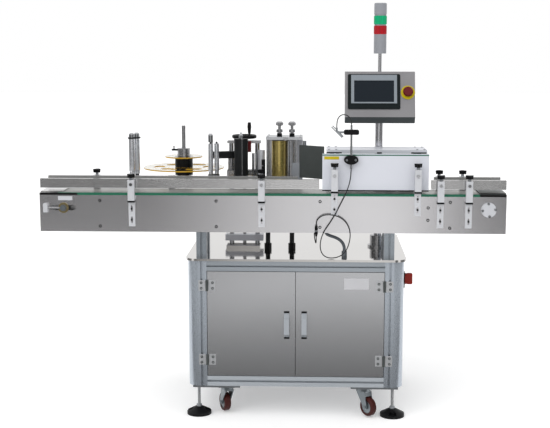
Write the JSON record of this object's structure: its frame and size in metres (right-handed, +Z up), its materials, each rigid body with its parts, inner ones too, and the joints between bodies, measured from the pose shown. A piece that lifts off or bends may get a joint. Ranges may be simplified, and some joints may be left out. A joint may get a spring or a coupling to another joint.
{
  "type": "bottle labelling machine",
  "caption": "Wheeled cabinet with a bottle conveyor, a height-adjustable label head, a wrap station, guide rails, an operator panel on a pole and a signal tower.",
  "frame": {"origin": "on the floor under the middle of the machine's overall box", "axes": "+X along the conveyor in the way the bottles travel, +Y from the operator's side to the rear, +Z up"},
  "size_m": [1.8, 0.6504, 1.616],
  "materials": {
    "anodised": "satin anodised",
    "sheet": "brushed",
    "polished": "mirror polished",
    "zinc": "zinc plated",
    "bright": "fine turned",
    "device": "moulded",
    "belt": "smooth",
    "green_strip": "extruded",
    "black_plastic": "moulded",
    "hose": "ribbed",
    "motor": "semi-gloss",
    "dark_metal": "satin",
    "white_plate": "smooth",
    "wrap_rubber": "smooth",
    "red_plastic": "gloss",
    "panel_paint": "satin",
    "lens": "gloss",
    "lead": "smooth",
    "head_metal": "satin",
    "clear": "clear",
    "gold": "turned",
    "wheel_red": "moulded"
  },
  "bodies": {
    "machine": {"cabinet_frame": "anodised", "cabinet_panels": "sheet", "deck_plate": "polished", "frame_fittings": "zinc", "control_gear": "device", "conveyor_posts": "anodised", "conveyor_frame": "sheet", "conveyor_belt": "belt", "conveyor_trim": "green_strip", "clamp_brackets": "bright", "clamp_knobs": "black_plastic", "conduits": "hose", "drive_motor": "motor", "pole_socket": "dark_metal", "head_pedestal": "bright", "wrap_frame": "white_plate", "wrap_belt": "wrap_rubber", "sensor_lead_lower": "lead", "lead_connector": "lead"},
    "panel": {"hmi_pole": "bright", "hmi_box": "panel_paint", "tower_light": "lens"},
    "board": {"wrap_board": "white_plate", "sensor_stand": "bright", "sensor_lead_upper": "lead"},
    "label_head": {"head_frame": "head_metal"},
    "left_door": {"left_door": "sheet"},
    "right_door": {"right_door": "sheet"},
    "isolator_handle": {"isolator_handle": "red_plastic"},
    "stop_button": {"stop_button": "red_plastic"},
    "front_rail_left": {"front_rail_left": "anodised"},
    "front_rail_right": {"front_rail_right": "anodised"},
    "rear_rail_left": {"rear_rail_left": "anodised"},
    "rear_rail_right": {"rear_rail_right": "anodised"},
    "drive_roller": {"drive_roller": "zinc"},
    "idler_roller": {"idler_roller": "zinc"},
    "wrap_roller_left": {"wrap_roller_left": "zinc"},
    "wrap_roller_right": {"wrap_roller_right": "zinc"},
    "handwheel": {"handwheel": "black_plastic"},
    "label_reel": {"label_reel": "clear"},
    "rewind_spool": {"rewind_spool": "bright"},
    "traction_roller": {"traction_roller": "gold"},
    "press_roller": {"press_roller": "wrap_rubber"},
    "dancer_arm": {"dancer_arm": "bright"},
    "guide_roller_1": {"guide_roller_1": "bright"},
    "guide_roller_2": {"guide_roller_2": "bright"},
    "dancer_roller_1": {"dancer_roller_1": "bright"},
    "dancer_roller_2": {"dancer_roller_2": "bright"},
    "foot_1": {"foot_1": "black_plastic"},
    "caster_fork_1": {"caster_fork_1": "zinc"},
    "caster_wheel_1": {"caster_wheel_1": "wheel_red"},
    "foot_2": {"foot_2": "black_plastic"},
    "caster_fork_2": {"caster_fork_2": "zinc"},
    "caster_wheel_2": {"caster_wheel_2": "wheel_red"},
    "foot_3": {"foot_3": "black_plastic"},
    "caster_fork_3": {"caster_fork_3": "zinc"},
    "caster_wheel_3": {"caster_wheel_3": "wheel_red"},
    "foot_4": {"foot_4": "black_plastic"},
    "caster_fork_4": {"caster_fork_4": "zinc"},
    "caster_wheel_4": {"caster_wheel_4": "wheel_red"}
  },
  "joints": [
    {"name": "left_door_hinge", "type": "hinge", "parent": "machine", "child": "left_door", "pos_m": [-0.249, -0.30125, 0.232], "axis": [0, 0, 1], "range_deg": [-110, 0]},
    {"name": "right_door_hinge", "type": "hinge", "parent": "machine", "child": "right_door", "pos_m": [0.439, -0.30125, 0.232], "axis": [0, 0, 1], "range_deg": [0, 110]},
    {"name": "isolator_turn", "type": "hinge", "parent": "machine", "child": "isolator_handle", "pos_m": [0.5225, -0.17725, 0.537], "axis": [1, 0, 0], "range_deg": [0, 90]},
    {"name": "foot_1_screw", "type": "slide", "parent": "machine", "child": "foot_1", "axis": [0, 0, 1], "range_m": [-0.015, 0.02]},
    {"name": "caster_1_swivel", "type": "hinge", "parent": "machine", "child": "caster_fork_1", "pos_m": [-0.175, -0.25525, 0.118], "axis": [0, 0, 1], "range_deg": [-245, 15]},
    {"name": "caster_1_roll", "type": "hinge", "parent": "caster_fork_1", "child": "caster_wheel_1", "pos_m": [-0.18641, -0.23078, 0.0425], "axis": [-0.9063, -0.4226, 0], "continuous": true},
    {"name": "foot_2_screw", "type": "slide", "parent": "machine", "child": "foot_2", "axis": [0, 0, 1], "range_m": [-0.015, 0.02]},
    {"name": "caster_2_swivel", "type": "hinge", "parent": "machine", "child": "caster_fork_2", "pos_m": [0.365, -0.25525, 0.118], "axis": [0, 0, 1], "range_deg": [-260, 0]},
    {"name": "caster_2_roll", "type": "hinge", "parent": "caster_fork_2", "child": "caster_wheel_2", "pos_m": [0.38236, -0.27593, 0.0425], "axis": [0.766, 0.6428, 0], "continuous": true},
    {"name": "foot_3_screw", "type": "slide", "parent": "machine", "child": "foot_3", "axis": [0, 0, 1], "range_m": [-0.015, 0.02]},
    {"name": "caster_3_swivel", "type": "hinge", "parent": "machine", "child": "caster_fork_3", "pos_m": [-0.175, 0.27475, 0.118], "axis": [0, 0, 1], "range_deg": [-100, 160]},
    {"name": "caster_3_roll", "type": "hinge", "parent": "caster_fork_3", "child": "caster_wheel_3", "pos_m": [-0.15162, 0.26125, 0.0425], "axis": [0.5, 0.866, 0], "continuous": true},
    {"name": "foot_4_screw", "type": "slide", "parent": "machine", "child": "foot_4", "axis": [0, 0, 1], "range_m": [-0.015, 0.02]},
    {"name": "caster_4_swivel", "type": "hinge", "parent": "machine", "child": "caster_fork_4", "pos_m": [0.365, 0.27475, 0.118], "axis": [0, 0, 1], "range_deg": [-100, 160]},
    {"name": "caster_4_roll", "type": "hinge", "parent": "caster_fork_4", "child": "caster_wheel_4", "pos_m": [0.34162, 0.28825, 0.0425], "axis": [-0.5, -0.866, 0], "continuous": true},
    {"name": "panel_swivel", "type": "hinge", "parent": "machine", "child": "panel", "pos_m": [0.424, -0.00025, 0.634], "axis": [0, 0, 1], "range_deg": [-90, 90]},
    {"name": "stop_press", "type": "slide", "parent": "panel", "child": "stop_button", "axis": [0, 0.9511, -0.309], "range_m": [0, 0.004], "stiffness_N_per_m": 2500},
    {"name": "front_left_rail_slide", "type": "slide", "parent": "machine", "child": "front_rail_left", "axis": [0, 1, 0], "range_m": [-0.01, 0.015]},
    {"name": "front_right_rail_slide", "type": "slide", "parent": "machine", "child": "front_rail_right", "axis": [0, 1, 0], "range_m": [-0.01, 0.015]},
    {"name": "rear_left_rail_slide", "type": "slide", "parent": "machine", "child": "rear_rail_left", "axis": [0, 1, 0], "range_m": [-0.015, 0.01]},
    {"name": "rear_right_rail_slide", "type": "slide", "parent": "machine", "child": "rear_rail_right", "axis": [0, 1, 0], "range_m": [-0.015, 0.01]},
    {"name": "board_slide", "type": "slide", "parent": "machine", "child": "board", "axis": [0, 1, 0], "range_m": [-0.01, 0.015]},
    {"name": "drive_spin", "type": "hinge", "parent": "machine", "child": "drive_roller", "pos_m": [0.833, -0.19525, 0.826], "axis": [0, 1, 0], "continuous": true},
    {"name": "idler_spin", "type": "hinge", "parent": "machine", "child": "idler_roller", "pos_m": [-0.807, -0.19525, 0.826], "axis": [0, 1, 0], "continuous": true},
    {"name": "wrap_left_spin", "type": "hinge", "parent": "machine", "child": "wrap_roller_left", "pos_m": [0.256, -0.11825, 0.896], "axis": [0, 0, 1], "continuous": true},
    {"name": "wrap_right_spin", "type": "hinge", "parent": "machine", "child": "wrap_roller_right", "pos_m": [0.56, -0.11825, 0.896], "axis": [0, 0, 1], "continuous": true},
    {"name": "head_lift", "type": "slide", "parent": "machine", "child": "label_head", "axis": [0, 0, 1], "range_m": [-0.015, 0.03]},
    {"name": "handwheel_turn", "type": "hinge", "parent": "machine", "child": "handwheel", "pos_m": [-0.122, 0.01475, 1.082], "axis": [0, 0, 1], "range_deg": [-675, 1350]},
    {"name": "reel_spin", "type": "hinge", "parent": "label_head", "child": "label_reel", "pos_m": [-0.384, 0.12475, 0.912], "axis": [0, 0, 1], "continuous": true},
    {"name": "spool_spin", "type": "hinge", "parent": "label_head", "child": "rewind_spool", "pos_m": [-0.13, -0.06725, 0.923], "axis": [0, 0, 1], "continuous": true},
    {"name": "traction_spin", "type": "hinge", "parent": "label_head", "child": "traction_roller", "pos_m": [0.021, -0.03225, 1.076], "axis": [0, 0, 1], "continuous": true},
    {"name": "press_spin", "type": "hinge", "parent": "label_head", "child": "press_roller", "pos_m": [0.0603, -0.03225, 1.076], "axis": [0, 0, 1], "continuous": true},
    {"name": "guide_1_spin", "type": "hinge", "parent": "label_head", "child": "guide_roller_1", "pos_m": [-0.5845, 0.01425, 0.925], "axis": [0, 0, 1], "continuous": true},
    {"name": "guide_2_spin", "type": "hinge", "parent": "label_head", "child": "guide_roller_2", "pos_m": [-0.568, 0.03875, 0.925], "axis": [0, 0, 1], "continuous": true},
    {"name": "dancer_swing", "type": "hinge", "parent": "label_head", "child": "dancer_arm", "pos_m": [-0.175, 0.01475, 0.994], "axis": [0, 0, 1], "range_deg": [-8, 15], "stiffness_Nm_per_rad": 3},
    {"name": "dancer_1_spin", "type": "hinge", "parent": "dancer_arm", "child": "dancer_roller_1", "pos_m": [-0.255, -0.04125, 0.926], "axis": [0, 0, 1], "continuous": true},
    {"name": "dancer_2_spin", "type": "hinge", "parent": "dancer_arm", "child": "dancer_roller_2", "pos_m": [-0.2315, -0.02975, 0.926], "axis": [0, 0, 1], "continuous": true}
  ],
  "couplings": [
    {"joint": "idler_spin", "follows": "drive_spin", "ratio": 1},
    {"joint": "wrap_left_spin", "follows": "wrap_right_spin", "ratio": 1},
    {"joint": "press_spin", "follows": "traction_spin", "ratio": -2.9},
    {"joint": "handwheel_turn", "follows": "head_lift", "rad_per_m": 785.4}
  ]
}
